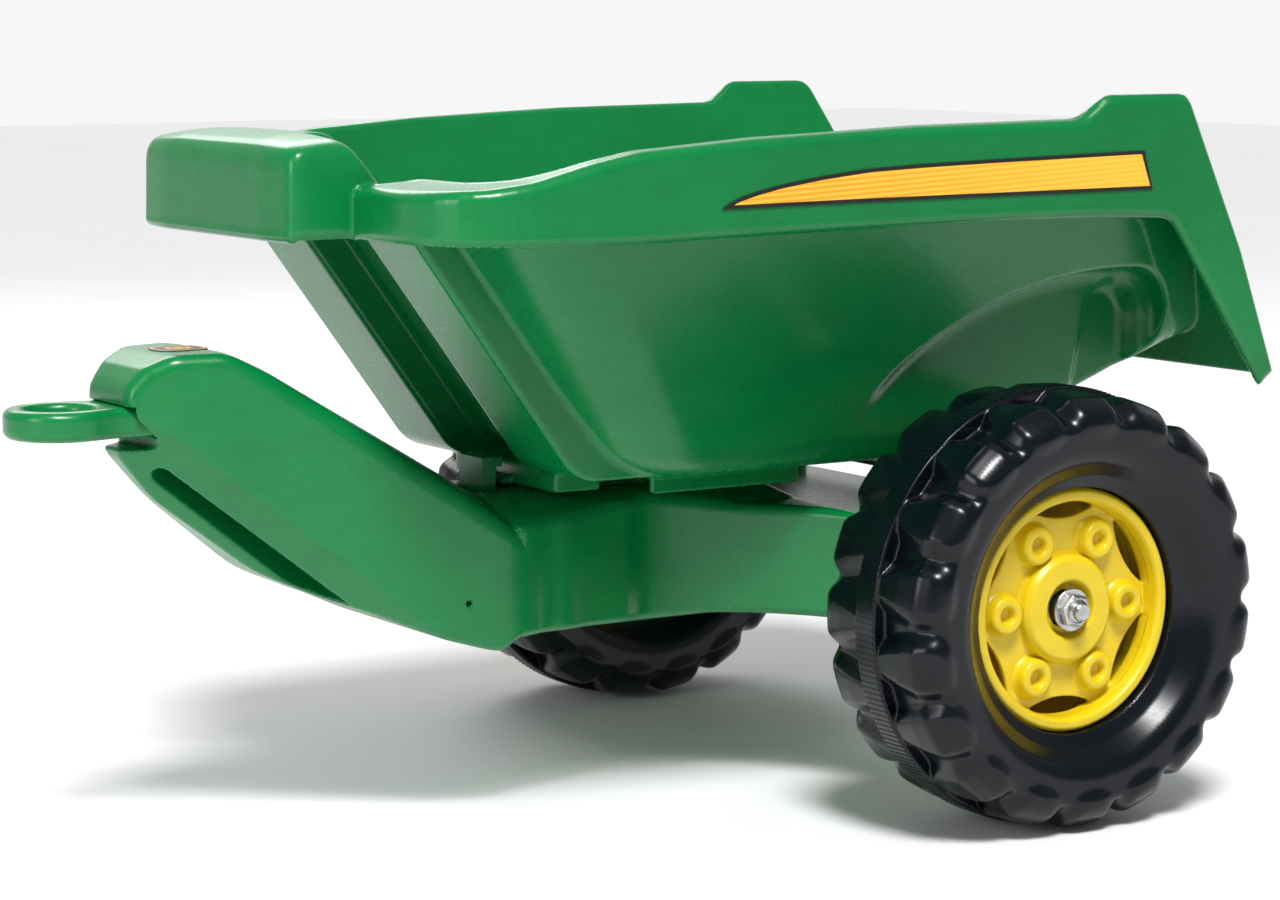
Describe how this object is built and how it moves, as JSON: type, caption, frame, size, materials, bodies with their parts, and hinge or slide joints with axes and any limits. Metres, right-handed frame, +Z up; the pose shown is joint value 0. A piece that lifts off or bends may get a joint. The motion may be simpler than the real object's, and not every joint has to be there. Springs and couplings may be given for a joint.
{
  "type": "pedal tractor trailer",
  "caption": "Two-wheeled tipping trailer for a child's pedal tractor: open moulded tub on a gooseneck drawbar with a tow eye.",
  "frame": {"origin": "middle of the whole trailer's bounding box, on the ground under the tyres", "axes": "+X forward to the tow eye, +Y to the left wheel, +Z up"},
  "size_m": [0.6595, 0.4946, 0.37],
  "materials": {
    "green_shell": "glossy moulded",
    "tyre_black": "glossy blow-moulded",
    "hub_yellow": "satin moulded",
    "steel": "bright",
    "dark_plastic": "matt",
    "decal_film": "printed film",
    "badge_film": "printed film"
  },
  "bodies": {
    "chassis": {"chassis": "green_shell", "tow_tongue": "green_shell", "tongue_bolt": "steel", "tongue_nut": "steel", "badge": "badge_film", "axle": "steel", "spacers": "dark_plastic", "washers": "steel", "axle_nuts": "steel", "pivot_rod": "steel", "pivot_caps": "dark_plastic", "latch_pin": "steel"},
    "wheel_left": {"tyre_left": "tyre_black", "hub_front_left": "hub_yellow", "hub_back_left": "hub_yellow", "bush_left": "dark_plastic"},
    "wheel_right": {"tyre_right": "tyre_black", "hub_front_right": "hub_yellow", "hub_back_right": "hub_yellow", "bush_right": "dark_plastic"},
    "tub": {"tub": "green_shell", "decal_left": "decal_film", "decal_right": "decal_film"},
    "latch": {"latch_lever": "green_shell"}
  },
  "joints": [
    {"name": "wheel_left_spin", "type": "hinge", "parent": "chassis", "child": "wheel_left", "pos_m": [-0.14875, 0.2027, 0.1125], "axis": [0, 1, 0], "continuous": true},
    {"name": "wheel_right_spin", "type": "hinge", "parent": "chassis", "child": "wheel_right", "pos_m": [-0.14875, -0.2027, 0.1125], "axis": [0, 1, 0], "continuous": true},
    {"name": "tub_tip", "type": "hinge", "parent": "chassis", "child": "tub", "pos_m": [-0.18875, 0, 0.162], "axis": [0, -1, 0], "range_deg": [0, 45]},
    {"name": "latch_lock", "type": "hinge", "parent": "chassis", "child": "latch", "pos_m": [0.06725, 0, 0.1585], "axis": [0, -1, 0], "range_deg": [0, 20]}
  ]
}
